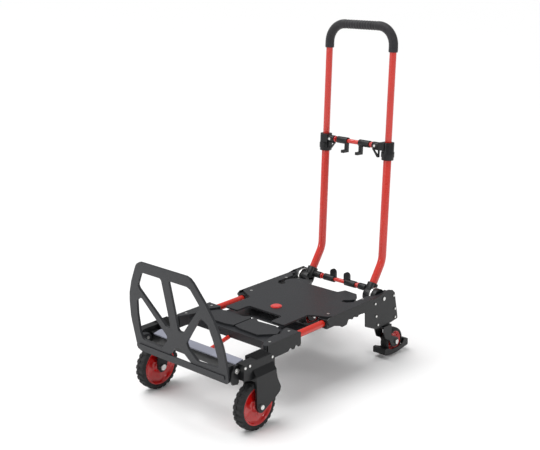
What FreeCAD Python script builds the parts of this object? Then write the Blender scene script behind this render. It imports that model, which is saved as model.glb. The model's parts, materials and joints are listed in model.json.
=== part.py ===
"""Convertible hand truck as a parametric assembly, in millimetres.

X is the truck's right, Y runs from the toe plate to the handle and Z is up. The
pieces are drawn with Y = 0 on the front axle; front_axle_y then centres the truck.
"""
import FreeCAD
import Part
import math
import os
import Sketcher

FROM_FLOOR = "XY_Plane"
FROM_FRONT = "XZ_Plane"
FROM_SIDE = "YZ_Plane"
SIDES = {"left": -1, "right": 1}

DIMENSIONS = {
    "front_axle_y": -259.6,
    "front_wheel_radius": 62.5,
    "front_wheel_x": 174.0,
    "front_wheel_width": 29.0,
    "caster_wheel_radius": 37.5,
    "caster_wheel_width": 24.0,
    "caster_x": 150.0,
    "caster_swivel_y": 540.0,
    "caster_trail": 40.0,
    "panel_top": 189.0,
    "panel_thickness": 4.5,
    "deck_half": 158.0,
    "side_thickness": 3.0,
    "front_strip_top": 187.0,
    "front_pad_top": 184.0,
    "front_base_top": 178.0,
    "tray_floor": 158.0,
    "tray_rear": 272.0,
    "rail_x": 143.0,
    "rail_height": 172.0,
    "rail_radius": 9.2,
    "rail_clearance": 0.3,
    "rail_front": 100.0,
    "rail_rear": 390.0,
    "bracket_top": 179.0,
    "bracket_floor": 134.5,
    "bracket_inner": 163.0,
    "bracket_outer": 185.0,
    "toe_bottom_y": -69.0,
    "toe_bottom_height": 131.0,
    "toe_lean": 10.6,
    "toe_length": 264.0,
    "toe_thickness": 6.5,
    "toe_pin_y": -52.0,
    "toe_pin_height": 163.5,
    "toe_pin_radius": 4.0,
    "hinge_y": 527.0,
    "hinge_height": 177.0,
    "hinge_disc_radius": 24.0,
    "hinge_pin_radius": 5.0,
    "handle_x": 108.0,
    "handle_bend_y": 587.5,
    "handle_bend_height": 260.0,
    "handle_tilt": 3.3,
    "lower_tube_radius": 11.0,
    "lower_tube_top": 300.0,
    "upper_tube_radius": 9.2,
    "tube_clearance": 0.3,
    "upper_tube_foot": 245.0,
    "handle_top": 635.5,
    "handle_corner": 50.0,
    "grip_radius": 12.5,
    "grip_foot": 570.0,
    "crossbar_radius": 6.0,
    "mid_crossbar_height": 319.0,
    "mid_crossbar_forward": 11.0,
    "lower_crossbar_y": 538.0,
    "lower_crossbar_height": 190.0,
    "button_y": 270.0,
    "button_radius": 15.0,
    "rivet_radius": 2.0,
    "running_fit": 0.05,
}

document = FreeCAD.newDocument("HandTruck")
cells = document.addObject("Spreadsheet::Sheet", "sizes")
pieces = []


class Size:
    """A length together with the spreadsheet formula that gives it."""

    def __init__(self, value, formula):
        self.value = value
        self.formula = formula

    def __add__(self, other):
        other = size(other)
        return Size(self.value + other.value, f"({self.formula} + {other.formula})")

    def __radd__(self, other):
        return size(other) + self

    def __sub__(self, other):
        other = size(other)
        return Size(self.value - other.value, f"({self.formula} - {other.formula})")

    def __rsub__(self, other):
        return size(other) - self

    def __mul__(self, factor):
        return Size(self.value * factor, f"({self.formula} * {factor})")

    def __rmul__(self, factor):
        return self * factor

    def __neg__(self):
        return self * -1


def size(number):
    """The number as a Size, so that plain numbers and cells mix freely."""
    if isinstance(number, Size):
        return number
    return Size(float(number), f"{float(number)}")


def fill_spreadsheet():
    for row, (alias, value) in enumerate(DIMENSIONS.items(), start=1):
        cells.set(f"A{row}", alias)
        cells.set(f"B{row}", str(value))
        cells.setAlias(f"B{row}", alias)
    document.recompute()


def cell(alias):
    return Size(DIMENSIONS[alias], f"<<sizes>>.{alias}")


def bind(thing, prop, length):
    """Set a property and tie it to the spreadsheet."""
    length = size(length)
    if "." not in prop:
        setattr(thing, prop, length.value)
    thing.setExpression(prop, length.formula)


# ---------------------------------------------------------------- sketches and features

def new_body(name):
    body = document.addObject("PartDesign::Body", name)
    body.Label = name
    return body


def plane_of(body, role):
    return next(item for item in body.Origin.OriginFeatures if item.Role == role)


def new_sketch(body, plane, distance=0):
    """A sketch on an origin plane of its body, moved along the plane's normal."""
    sketch = body.newObject("Sketcher::SketchObject", f"{body.Name}_sketch")
    sketch.AttachmentSupport = [(plane_of(body, plane), "")]
    sketch.MapMode = "FlatFace"
    bind(sketch, "AttachmentOffset.Base.z", distance)
    return sketch


class Drawing:
    """Collects a sketch's constraints and adds them in one go."""

    def __init__(self, sketch):
        self.sketch = sketch
        self.constraints = []
        self.formulas = []

    def hold(self, constraint, formula=""):
        self.constraints.append(constraint)
        self.formulas.append(formula)

    def join(self, geometry, point, other, other_point):
        self.hold(Sketcher.Constraint("Coincident", geometry, point, other, other_point))

    def fix_point(self, geometry, point, across, along):
        for kind, length in (("DistanceX", size(across)), ("DistanceY", size(along))):
            self.hold(Sketcher.Constraint(kind, geometry, point, length.value), length.formula)

    def fix_radius(self, geometry, radius):
        radius = size(radius)
        self.hold(Sketcher.Constraint("Radius", geometry, radius.value), radius.formula)

    def finish(self):
        """Add every constraint and bind the ones that depend on the spreadsheet."""
        numbers = self.sketch.addConstraint(self.constraints)
        for number, formula in zip(numbers, self.formulas):
            if "<<sizes>>" in formula:
                self.sketch.setExpression(f"Constraints[{number}]", formula)


def corner_tangent(before, corner, after, radius):
    """How far a rounding reaches from its corner, and the radius that fits there."""
    to_before = FreeCAD.Vector(before[0].value - corner[0].value, before[1].value - corner[1].value, 0)
    to_after = FreeCAD.Vector(after[0].value - corner[0].value, after[1].value - corner[1].value, 0)
    half_angle = to_before.getAngle(to_after) / 2
    reach = radius / math.tan(half_angle) if half_angle > 0.01 else 0
    reach = min(reach, 0.48 * to_before.Length, 0.48 * to_after.Length)
    turns_left = to_before.cross(to_after).z < 0
    return reach / to_before.Length, reach / to_after.Length, reach * math.tan(half_angle), turns_left


def is_corner(points, index):
    """False where an outline runs straight on."""
    before, corner, after = points[index - 1], points[index], points[(index + 1) % len(points)]
    arriving = FreeCAD.Vector(corner[0].value - before[0].value, corner[1].value - before[1].value, 0)
    leaving = FreeCAD.Vector(after[0].value - corner[0].value, after[1].value - corner[1].value, 0)
    return arriving.getAngle(leaving) > 0.01


def towards(start, end, share):
    """The point at a share of the way from one point to another."""
    return tuple(a + (b - a) * share for a, b in zip(start, end))


def vector(point):
    return FreeCAD.Vector(point[0].value, point[1].value, 0)


def draw_rounded(drawing, corners, radius):
    """A closed outline of lines joined by tangent arcs, held by the arcs' end points."""
    drawn = [(size(across), size(along)) for across, along in corners]
    points = [point for index, point in enumerate(drawn) if is_corner(drawn, index)]
    ends = []
    for index, corner in enumerate(points):
        before, after = points[index - 1], points[(index + 1) % len(points)]
        back, ahead, fitted, turns_left = corner_tangent(before, corner, after, radius)
        ends.append((towards(corner, before, back), towards(corner, after, ahead), fitted, turns_left))
    made = []
    for index, (first, last, fitted, turns_left) in enumerate(ends):
        start, end, apex = vector(first), vector(last), vector(points[index])
        inward = ((start - apex).normalize() + (end - apex).normalize()).normalize()
        centre = apex + inward * math.hypot(fitted, (start - apex).Length)
        following = vector(ends[(index + 1) % len(ends)][0])
        arc = drawing.sketch.addGeometry(Part.Arc(start, centre - inward * fitted, end))
        line = drawing.sketch.addGeometry(Part.LineSegment(end, following))
        begin, finish = (1, 2) if turns_left else (2, 1)
        drawing.join(arc, finish, line, 1)
        drawing.fix_point(arc, begin, *first)
        drawing.fix_point(line, 1, *last)
        drawing.fix_radius(arc, fitted)
        made.append((arc, begin, line))
    for index, (arc, begin, line) in enumerate(made):
        drawing.join(made[index - 1][2], 2, arc, begin)


def draw_polygon(drawing, corners):
    """A closed outline with every corner's two coordinates constrained."""
    points = [(size(across), size(along)) for across, along in corners]
    first = drawing.sketch.GeometryCount
    for index, point in enumerate(points):
        following = points[(index + 1) % len(points)]
        drawing.sketch.addGeometry(Part.LineSegment(vector(point), vector(following)))
    for index, (across, along) in enumerate(points):
        drawing.join(first + index, 2, first + (index + 1) % len(points), 1)
        drawing.fix_point(first + index, 1, across, along)


def draw_circle(drawing, across, along, radius):
    centre = vector((size(across), size(along)))
    circle = drawing.sketch.addGeometry(Part.Circle(centre, FreeCAD.Vector(0, 0, 1), size(radius).value))
    drawing.fix_point(circle, 3, across, along)
    drawing.fix_radius(circle, radius)


def draw_section(sketch, outlines, circles=(), rounding=0):
    """Every outline and circle of one sketch; rounding is the outlines' corner radius."""
    drawing = Drawing(sketch)
    for outline in outlines:
        if rounding:
            draw_rounded(drawing, outline, rounding)
        else:
            draw_polygon(drawing, outline)
    for circle in circles:
        draw_circle(drawing, *circle)
    drawing.finish()


def normal_sign(plane):
    """XZ sketches look along +Y, so their normal points the other way."""
    return -1 if plane == FROM_FRONT else 1


def pad(body, plane, start, end, outlines=(), circles=(), rounding=0):
    """Add material between two distances along the plane's world axis."""
    start, end = size(start), size(end)
    sign = normal_sign(plane)
    sketch = new_sketch(body, plane, start * sign)
    draw_section(sketch, outlines, circles, rounding)
    feature = body.newObject("PartDesign::Pad", f"{body.Name}_pad")
    feature.Profile = sketch
    length = end - start if end.value > start.value else start - end
    feature.Reversed = (end.value - start.value) * sign < 0
    bind(feature, "Length", length)
    sketch.Visibility = False
    return feature


def pocket(body, plane, start, end, outlines=(), circles=(), rounding=0):
    """Remove material between two distances along the plane's world axis."""
    start, end = size(start), size(end)
    sign = normal_sign(plane)
    sketch = new_sketch(body, plane, start * sign)
    draw_section(sketch, outlines, circles, rounding)
    feature = body.newObject("PartDesign::Pocket", f"{body.Name}_pocket")
    feature.Profile = sketch
    length = end - start if end.value > start.value else start - end
    feature.Reversed = (end.value - start.value) * sign > 0
    bind(feature, "Length", length)
    sketch.Visibility = False
    return feature


def turn(body, plane, profile, axis="V_Axis"):
    """Revolve a closed profile about one of its sketch's own axes."""
    sketch = new_sketch(body, plane)
    draw_section(sketch, [profile])
    feature = body.newObject("PartDesign::Revolution", f"{body.Name}_turn")
    feature.Profile = sketch
    feature.ReferenceAxis = (sketch, [axis])
    feature.Angle = 360
    sketch.Visibility = False
    return feature


def repeat_along(body, feature, direction, length, count):
    """Repeat a feature along the body's X, Y or Z axis."""
    pattern = body.newObject("PartDesign::LinearPattern", f"{body.Name}_pattern")
    pattern.Originals = [feature]
    axis = next(item for item in body.Origin.OriginFeatures if item.Role == direction)
    pattern.Direction = (axis, [""])
    bind(pattern, "Length", length)
    pattern.Occurrences = count
    body.Tip = pattern
    return pattern


def mirrored(points, side):
    """The outline on the right or, with the first coordinate negated, on the left."""
    return [(side * size(across), along) for across, along in points]


def seat(piece, lift=0, tilt=0, forward=0):
    """Shift a piece onto the centred Y and, if asked, lift and tilt it."""
    turned = FreeCAD.Rotation(FreeCAD.Vector(1, 0, 0), tilt)
    shift = size(forward) + cell("front_axle_y")
    piece.Placement = FreeCAD.Placement(FreeCAD.Vector(0, shift.value, size(lift).value), turned)
    piece.setExpression("Placement.Base.y", shift.formula)
    piece.setExpression("Placement.Base.z", size(lift).formula)
    return piece


def seat_on_handle(piece):
    """The straight handle leans back from the bend in its tubes."""
    return seat(piece, cell("handle_bend_height"), -DIMENSIONS["handle_tilt"], cell("handle_bend_y"))


def place(piece, lift=0, forward=0):
    """Seat a finished sub-part in the truck."""
    pieces.append(seat(piece, lift, 0, forward))


def place_on_handle(piece):
    pieces.append(seat_on_handle(piece))


def place_on_toe(piece):
    """The toe plate leans forward from its bottom edge."""
    pieces.append(seat(piece, cell("toe_bottom_height"), DIMENSIONS["toe_lean"], cell("toe_bottom_y")))


# ---------------------------------------------------------------- simple solids

def rod(axis, start, end, radius, across=(0, 0)):
    """A cylinder along X, Y or Z; across gives its other two coordinates in order."""
    first, second = size(across[0]), size(across[1])
    start, end = size(start), size(end)
    cylinder = document.addObject("Part::Cylinder", "rod")
    bind(cylinder, "Radius", radius)
    bind(cylinder, "Height", end - start)
    base = {"X": (start, first, second), "Y": (first, start, second), "Z": (first, second, start)}[axis]
    turned = {
        "X": FreeCAD.Rotation(FreeCAD.Vector(0, 1, 0), 90),
        "Y": FreeCAD.Rotation(FreeCAD.Vector(1, 0, 0), -90),
        "Z": FreeCAD.Rotation(),
    }[axis]
    cylinder.Placement = FreeCAD.Placement(FreeCAD.Vector(*[b.value for b in base]), turned)
    for letter, length in zip("xyz", base):
        cylinder.setExpression(f"Placement.Base.{letter}", length.formula)
    return cylinder


def block(low, high):
    """A box between two corners."""
    low = [size(value) for value in low]
    high = [size(value) for value in high]
    box = document.addObject("Part::Box", "block")
    for prop, first, last in zip(("Length", "Width", "Height"), low, high):
        bind(box, prop, last - first)
    box.Placement.Base = FreeCAD.Vector(*[value.value for value in low])
    for letter, length in zip("xyz", low):
        box.setExpression(f"Placement.Base.{letter}", length.formula)
    return box


def fuse(*shapes):
    joined = document.addObject("Part::MultiFuse", "fused")
    joined.Shapes = list(shapes)
    joined.Refine = True
    return joined


def cut(base, *tools):
    result = document.addObject("Part::Cut", "cut")
    result.Base = base
    result.Tool = tools[0] if len(tools) == 1 else fuse(*tools)
    return result


def group(name, shapes):
    """Separate solids of one kind under one name."""
    together = document.addObject("Part::Compound", name)
    together.Links = list(shapes)
    together.Label = name
    return together


def named(piece, name):
    piece.Label = name
    return piece


def span(side, inner, outer):
    """Inner and outer X on one side, lowest first."""
    inner, outer = side * size(inner), side * size(outer)
    return (inner, outer) if side > 0 else (outer, inner)


def rivet(axis, side, face, across, head_radius, length):
    """A domed rivet: the shank fills its hole and the head stands on the face."""
    shank_radius = cell("rivet_radius")
    if axis == "X":
        shank = rod("X", *span(side, face - length, face), shank_radius, across)
        head = rod("X", *span(side, face, face + 2), head_radius, across)
    else:
        shank = rod("Z", face - length, face, shank_radius, across)
        head = rod("Z", face, face + 1.2, head_radius, across)
    return fuse(shank, head)


# ---------------------------------------------------------------- rear frame

REAR_PLATE_RIVETS = [(488, 173), (572, 174), (579, 134), (580, 109), (493, 136), (501, 109)]
PANEL_RIVETS = [(137, 318.5), (137, 463)]
EAR_OUTLINE = [(58, 484), (101, 480), (114, 465), (122, 446), (114, 434), (102, 427), (70, 430)]
PANEL_HALF = [
    (56, 228), (60, 222), (60, 184), (103, 184), (103, 278), (115, 285), (151, 301),
    (158, 310), (158, 569), (146, 569), (146, 497), (134, 490), (134, 426), (122, 412), (106, 410), (104, 424),
    (116, 432), (124, 446), (116, 466), (102, 482), (60, 486), (52, 462),
]


def rear_deck_panel():
    """The big rear tread panel, with a hand slot in front and two ears behind."""
    body = new_body("rear_deck_panel")
    right = PANEL_HALF
    left = [(-across, along) for across, along in reversed(PANEL_HALF)]
    top = cell("panel_top")
    underside = top - cell("panel_thickness")
    pad(body, FROM_FLOOR, underside, top, outlines=[right + left], rounding=5)
    for side in SIDES.values():
        pad(body, FROM_FLOOR, underside - 10, underside, outlines=[mirrored(EAR_OUTLINE, side)], rounding=5)
    seat = (0, cell("button_y"), cell("button_radius") + 0.3)
    pocket(body, FROM_FLOOR, top, underside + 1, circles=[seat])
    holes = [(side * across, along, cell("rivet_radius")) for side in SIDES.values()
             for across, along in PANEL_RIVETS]
    pocket(body, FROM_FLOOR, top, underside, circles=holes)
    countersinks = [(across, along, 4) for across, along, radius in holes]
    pocket(body, FROM_FLOOR, top, top - 1.2, circles=countersinks)
    place(body)


REAR_PLATE_OUTLINE = [
    (446, 159), (447, 119), (492, 98.5), (551, 97.5), (593, 102), (577, 182), (566, 192), (520, 192), (500, 189),
    (296, 189), (285, 182), (296, 168), (340, 154), (346, 149), (366, 150), (374, 164), (380, 166),
    (384, 159), (392, 158), (395, 166), (401, 166), (405, 159), (414, 158), (418, 166), (424, 167),
    (430, 161), (438, 161),
]


def rear_side_plate(name, side):
    """The tall side plate that carries the caster, with a scalloped lower edge."""
    body = new_body(f"rear_side_plate_{name}")
    inner = side * cell("deck_half")
    outer = side * (cell("deck_half") + cell("side_thickness"))
    pad(body, FROM_SIDE, inner, outer, outlines=[REAR_PLATE_OUTLINE], rounding=4)
    holes = [(along, height, cell("rivet_radius")) for along, height in REAR_PLATE_RIVETS]
    holes.append((cell("hinge_y"), cell("hinge_height"), cell("rivet_radius")))
    pocket(body, FROM_SIDE, outer, inner, circles=holes)
    place(body)


def rail_guides():
    """Moulded guides that the two slide rails run in."""
    guides = []
    for side in SIDES.values():
        inner, outer = span(side, 131, cell("deck_half"))
        top = cell("panel_top") - cell("panel_thickness")
        body = block((inner, 287, 160), (outer, 495, top))
        radius = cell("rail_radius") + cell("rail_clearance")
        bore = rod("Y", 286, 496, radius, (side * cell("rail_x"), cell("rail_height")))
        guides.append(cut(body, bore))
    place(group("rail_guides", guides))


def rear_cross_member():
    """A steel channel under the panel that ties the two guides together."""
    body = new_body("rear_cross_member")
    top = cell("panel_top") - cell("panel_thickness")
    floor = top - 20
    channel = [(376, top), (376, floor), (412, floor), (412, top), (409, top),
               (409, floor + 3), (379, floor + 3), (379, top)]
    pad(body, FROM_SIDE, -131, 131, outlines=[channel])
    place(body)




def hinge_cheeks():
    """Fixed cheeks that hold the handle's hinge pins."""
    cheeks = []
    for side in SIDES.values():
        top = cell("panel_top") - cell("panel_thickness")
        inner, outer = span(side, 132, cell("deck_half"))
        foot = block((inner, 495.5, 150.5), (outer, 569, top))
        hinge = (cell("hinge_y"), cell("hinge_height"))
        ear = rod("X", *span(side, 132, 145), cell("hinge_disc_radius") - 1, hinge)
        bore = rod("X", *span(side, 130, 152), cell("hinge_pin_radius") + cell("running_fit"), hinge)
        cheeks.append(cut(fuse(foot, ear), bore))
    place(group("hinge_cheeks", cheeks))


def caster_brackets():
    """Blocks between the side plates and the swivelling casters."""
    brackets = []
    for side in SIDES.values():
        low_x, high_x = span(side, 132, cell("deck_half"))
        housing = block((low_x, 488, 104), (high_x, 569, 150.5))
        swivel = (side * cell("caster_x"), cell("caster_swivel_y"))
        race = rod("Z", 99, 104, 7.8, swivel)
        bore = rod("Z", 95, 135, 5 + cell("running_fit"), swivel)
        brackets.append(cut(fuse(housing, race), bore))
    place(group("caster_brackets", brackets))


def rear_rivets():
    """Plated rivets of the rear side plates and the rear panel."""
    rivets = []
    face = cell("deck_half") + cell("side_thickness")
    for side in SIDES.values():
        for centre in REAR_PLATE_RIVETS:
            rivets.append(rivet("X", side, face, centre, 3.2, cell("side_thickness")))
        hinge = (cell("hinge_y"), cell("hinge_height"))
        rivets.append(rivet("X", side, face, hinge, 5.2, cell("side_thickness")))
        for across, along in PANEL_RIVETS:
            centre = (side * across, along)
            rivets.append(rivet("Z", side, cell("panel_top") - 1.2, centre, 3.9, cell("panel_thickness") - 1.2))
    place(group("rear_rivets", rivets))


def deck_button():
    """The round push button that frees the telescoping deck."""
    body = new_body("deck_button")
    floor = cell("panel_top") - 0.2
    top = cell("panel_top") + 3.2
    radius = cell("button_radius")
    centre = (0, cell("button_y"))
    pad(body, FROM_FLOOR, floor, top - 1.5, circles=[(*centre, radius)])
    pad(body, FROM_FLOOR, top - 1.5, top, circles=[(*centre, radius - 2.5)])
    place(body)


def button_spring():
    """A flat wave washer under the button."""
    floor = cell("panel_top") - cell("panel_thickness") + 1
    centre = (0, cell("button_y"))
    ring = rod("Z", floor, floor + 0.6, cell("button_radius") - 2, centre)
    hole = rod("Z", floor - 1, floor + 2, cell("button_radius") - 5, centre)
    place(named(cut(ring, hole), "button_spring"))


# ---------------------------------------------------------------- front frame

STRIP_RIVETS = [(137, 166), (148, 84)]
FRONT_BASE = [
    (14, 184), (27, 178), (60, 181), (157.5, 181), (157.5, 60), (146, 60), (138, 84), (112, 92), (24, 92),
]
TRAY_SLOT = [(-55, 187), (55, 187), (55, 227), (-55, 227)]
FRONT_STRIP = [(115, 181), (157.5, 181), (157.5, 60), (146, 60), (136, 84), (128, 106), (126, 124), (132, 142), (118, 166)]
PAD_OUTLINE = [(2, 178), (12, 182), (27, 171), (85, 176), (111, 162), (122, 140), (88, 104), (26, 106), (2, 112)]


def front_deck_panel():
    """The short front deck: a base, two side strips and two raised pads."""
    body = new_body("front_deck_panel")
    base = cell("front_base_top")
    outline = FRONT_BASE + [(-across, along) for across, along in reversed(FRONT_BASE)]
    floor = cell("tray_floor")
    pad(body, FROM_FLOOR, floor, base, outlines=[outline], rounding=4)
    tray = [(-130.5, 178), (130.5, 178), (130.5, cell("tray_rear")), (-130.5, cell("tray_rear"))]
    pad(body, FROM_FLOOR, floor, floor + 4, outlines=[tray])
    for side in SIDES.values():
        pad(body, FROM_FLOOR, base, cell("front_strip_top"), outlines=[mirrored(FRONT_STRIP, side)], rounding=4)
        pad(body, FROM_FLOOR, base, cell("front_pad_top"), outlines=[mirrored(PAD_OUTLINE, side)], rounding=4)
    bores = [(side * cell("rail_x"), cell("rail_height"), cell("rail_radius")) for side in SIDES.values()]
    pocket(body, FROM_FRONT, 182, cell("rail_front"), circles=bores)
    holes = [(side * across, along, cell("rivet_radius")) for side in SIDES.values()
             for across, along in STRIP_RIVETS]
    top = cell("front_strip_top")
    pocket(body, FROM_FLOOR, top, top - 4, circles=holes)
    hollow = [(-100, 100), (100, 100), (100, 168), (-100, 168)]
    pocket(body, FROM_FLOOR, floor, base - 4, outlines=[hollow])
    pocket(body, FROM_FLOOR, floor, floor + 4, outlines=[TRAY_SLOT], rounding=6)
    place(body)


FRONT_WALL_OUTLINE = [
    (64, 187), (184, 187), (184, 156), (181, 150), (174, 150), (170, 156), (164, 156), (160, 149),
    (152, 149), (148, 155), (142, 155), (136, 149), (64, 149),
]


def front_side_wall(name, side):
    """The scalloped side wall of the front deck."""
    body = new_body(f"front_side_wall_{name}")
    inner = side * (cell("deck_half") - 0.5)
    outer = side * (cell("deck_half") + cell("side_thickness"))
    pad(body, FROM_SIDE, inner, outer, outlines=[FRONT_WALL_OUTLINE], rounding=2.5)
    place(body)


BRACKET_OUTLINE = [
    (-44, 179), (50, 179), (61, 170), (62, 134.5), (-22, 134.5), (-44, 139),
]
LOBE_OUTLINE = [
    (-44, 177), (-58, 175), (-66, 162), (-68, 140), (-64, 131), (-48, 128), (-44, 132),
]
BRACKET_RIVETS = [(-40, 171), (-25, 172), (52, 170)]


def front_bracket(name, side):
    """The bracket over a front wheel, ribbed on top, with the toe plate's pivot lobe."""
    body = new_body(f"front_bracket_{name}")
    inner = side * cell("bracket_inner")
    outer = side * cell("bracket_outer")
    top = cell("bracket_top")
    pad(body, FROM_SIDE, inner, outer, outlines=[BRACKET_OUTLINE])
    pad(body, FROM_SIDE, inner, inner + side * 5, outlines=[LOBE_OUTLINE])
    shelf = [(0, 160), (56, 160), (56, top), (0, top)]
    pad(body, FROM_SIDE, side * 146, inner, outlines=[shelf])
    pin = (cell("toe_pin_y"), cell("toe_pin_height"), cell("toe_pin_radius") + cell("running_fit"))
    pocket(body, FROM_SIDE, side * 200, side * 140, circles=[pin])
    holes = [(along, height, cell("rivet_radius")) for along, height in BRACKET_RIVETS]
    pocket(body, FROM_SIDE, outer, outer - side * 6, circles=holes)
    first = side * 149
    rib = [(first, 2), (first + side * 1.6, 2), (first + side * 1.6, 49), (first, 49)]
    ridge = pad(body, FROM_FLOOR, top, top + 1.2, outlines=[rib])
    repeat = repeat_along(body, ridge, "X_Axis", 33, 9)
    repeat.Reversed = side < 0
    place(body)


def slide_rail(name, side):
    """A round steel rail fixed in the front deck and sliding in the rear guides."""
    rail = rod("Y", cell("rail_front"), cell("rail_rear"), cell("rail_radius"),
               (side * cell("rail_x"), cell("rail_height")))
    bore = rod("Y", cell("rail_front") - 1, cell("rail_rear") + 1, cell("rail_radius") - 1.5,
               (side * cell("rail_x"), cell("rail_height")))
    place(named(cut(rail, bore), f"slide_rail_{name}"))


def front_cross_panel():
    """The pale sloping cover over the front cross beam."""
    body = new_body("front_cross_panel")
    section = [(-31, 164), (-31, 167.5), (-10, 171.5), (-5, 171.5), (-5, 167), (-28, 167), (-28, 164)]
    pad(body, FROM_SIDE, -145, 145, outlines=[section])
    place(body)


def front_cross_beam():
    """The black beam that ties the two front brackets."""
    body = new_body("front_cross_beam")
    inner = cell("bracket_inner")
    outline = [(-28, 140), (-5, 140), (-5, 167), (-28, 167)]
    hollow = [(-25, 143), (-8, 143), (-8, 164), (-25, 164)]
    pad(body, FROM_SIDE, -inner, inner, outlines=[outline])
    pocket(body, FROM_SIDE, -inner, inner, outlines=[hollow])
    place(body)


def centre_rod():
    """The slanted centre rod from the cross beam up to the front deck."""
    start = FreeCAD.Vector(0, -5, 140)
    end = FreeCAD.Vector(0, 130, 166)
    stay = document.addObject("Part::Cylinder", "stay")
    bind(stay, "Radius", 5.2)
    bind(stay, "Height", (end - start).Length)
    lean = math.degrees(math.atan2(end.z - start.z, end.y - start.y))
    stay.Placement = FreeCAD.Placement(start, FreeCAD.Rotation(FreeCAD.Vector(1, 0, 0), lean - 90))
    trimmed = cut(stay, block((-20, 90, cell("tray_floor")), (20, 200, 190)), block((-20, -30, 120), (20, -5, 200)))
    place(named(trimmed, "centre_rod"))


def fender_outline():
    """A band concentric with the front wheel, from its top round to the rear."""
    clearance = DIMENSIONS["front_wheel_radius"] + 3.5
    axle = DIMENSIONS["front_wheel_radius"]
    angles = [math.radians(angle) for angle in range(20, 81, 10)]
    inner = [(clearance * math.cos(angle), axle + clearance * math.sin(angle)) for angle in angles]
    thick = clearance + 3
    outer = [(thick * math.cos(angle), axle + thick * math.sin(angle)) for angle in reversed(angles)]
    return inner + outer


def wheel_fork(name, side):
    """An inverted U that holds a front wheel, with a fender over the tyre."""
    x = cell("front_wheel_x")
    axle = cell("front_wheel_radius")
    half = cell("front_wheel_width") * 0.5
    body = new_body(f"wheel_fork_{name}")
    outer_leg = [(-14, 134.5), (-14, 64), (-8, 50), (3, 46), (16, 52), (50, 70), (66, 80), (70, 91), (58, 118), (55, 134.5)]
    inner_leg = [(-14, 134.5), (-14, 60), (-6, 49), (6, 49), (14, 60), (40, 134.5)]
    pad(body, FROM_SIDE, side * (x + half + 2), side * (x + half + 8), outlines=[outer_leg], rounding=5)
    pad(body, FROM_SIDE, side * (x - half - 2), side * (x - half - 7), outlines=[inner_leg])
    crown = [(-14, 134.5), (-14, 128.5), (55, 128.5), (55, 134.5)]
    pad(body, FROM_SIDE, side * (x - half - 7), side * (x + half + 8), outlines=[crown])
    face = side * (cell("bracket_outer") + 0.05)
    edge = side * (x + half + 8)
    flare = [(face, 134), (edge, 134), (edge, 141), (face, 158)]
    pad(body, FROM_FRONT, -14, 55, outlines=[flare])
    pad(body, FROM_SIDE, side * (x - half - 1), side * (x + half + 2), outlines=[fender_outline()])
    pocket(body, FROM_SIDE, side * (x + half + 10), side * (x - half - 10), circles=[(0, axle, 5.05)])
    place(body)


def front_axle_bolts():
    """Axle bolts of the front wheels, with a hexagon-size head and a nut."""
    bolts = []
    x = cell("front_wheel_x")
    half = cell("front_wheel_width") * 0.5
    centre = (0, cell("front_wheel_radius"))
    for side in SIDES.values():
        shank = rod("X", *span(side, x - half - 11, x + half + 9), 5, centre)
        head = rod("X", *span(side, x + half + 8, x + half + 13), 5.8, centre)
        nut = rod("X", *span(side, x - half - 12, x - half - 7), 8, centre)
        bolts.append(fuse(shank, head, nut))
    place(group("front_axle_bolts", bolts))


def front_rivets():
    """Plated rivets of the front brackets and the front deck."""
    rivets = []
    for side in SIDES.values():
        for centre in BRACKET_RIVETS:
            rivets.append(rivet("X", side, cell("bracket_outer"), centre, 3.2, 6))
        for across, along in STRIP_RIVETS:
            centre = (side * across, along)
            rivets.append(rivet("Z", side, cell("front_strip_top"), centre, 3.4, 4))
    place(group("front_rivets", rivets))


# ---------------------------------------------------------------- toe plate

TOE_HALF = [
    (160, 0), (162, 22), (162, 80), (161, 100), (153, 144), (146, 168), (129, 204), (101, 250), (92, 260), (80, 264),
]
TOE_UPPER_WINDOW = [(13, 237), (76, 237), (86, 232), (107, 197), (105, 188), (30, 103), (13, 101)]
TOE_SIDE_WINDOW = [(104, 165), (124, 150), (133, 110), (138, 60), (134, 38), (64, 33), (38, 60), (34, 76)]
TOE_LOW_WINDOW = [(0, 54), (15, 46), (38, 22), (38, 17), (-38, 17), (-38, 22), (-15, 46)]


def toe_pin_place():
    """The hinge pin's place in the toe plate's own frame: depth behind the face, and height."""
    lean = math.radians(DIMENSIONS["toe_lean"])
    back = DIMENSIONS["toe_pin_y"] - DIMENSIONS["toe_bottom_y"]
    rise = DIMENSIONS["toe_pin_height"] - DIMENSIONS["toe_bottom_height"]
    depth = back * math.cos(lean) + rise * math.sin(lean)
    height = rise * math.cos(lean) - back * math.sin(lean)
    return depth, height


def toe_plate():
    """The open-work toe plate: spokes run from a hub to a rounded frame."""
    body = new_body("toe_plate")
    thickness = cell("toe_thickness")
    outline = TOE_HALF + [(-across, along) for across, along in reversed(TOE_HALF)]
    pad(body, FROM_FRONT, 0, thickness, outlines=[outline], rounding=14)
    windows = [TOE_LOW_WINDOW]
    for side in SIDES.values():
        windows += [mirrored(TOE_UPPER_WINDOW, side), mirrored(TOE_SIDE_WINDOW, side)]
    pocket(body, FROM_FRONT, 0, thickness, outlines=windows, rounding=7)
    ledge = [(-150, 12), (150, 12), (150, 22), (-150, 22)]
    pad(body, FROM_FRONT, -2, 1, outlines=[ledge])
    depth, height = toe_pin_place()
    root = thickness - 1
    lug = [(root, height - 15), (depth, height - 11), (depth + 8, height - 8), (depth + 11, height),
           (depth + 8, height + 8), (depth, height + 11), (root, height + 15)]
    bore = (depth, height, cell("toe_pin_radius") + cell("running_fit"))
    for side in SIDES.values():
        pad(body, FROM_SIDE, side * 141.5, side * 157.5, outlines=[lug])
    pocket(body, FROM_SIDE, -170, 170, circles=[bore])
    place_on_toe(body)


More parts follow.
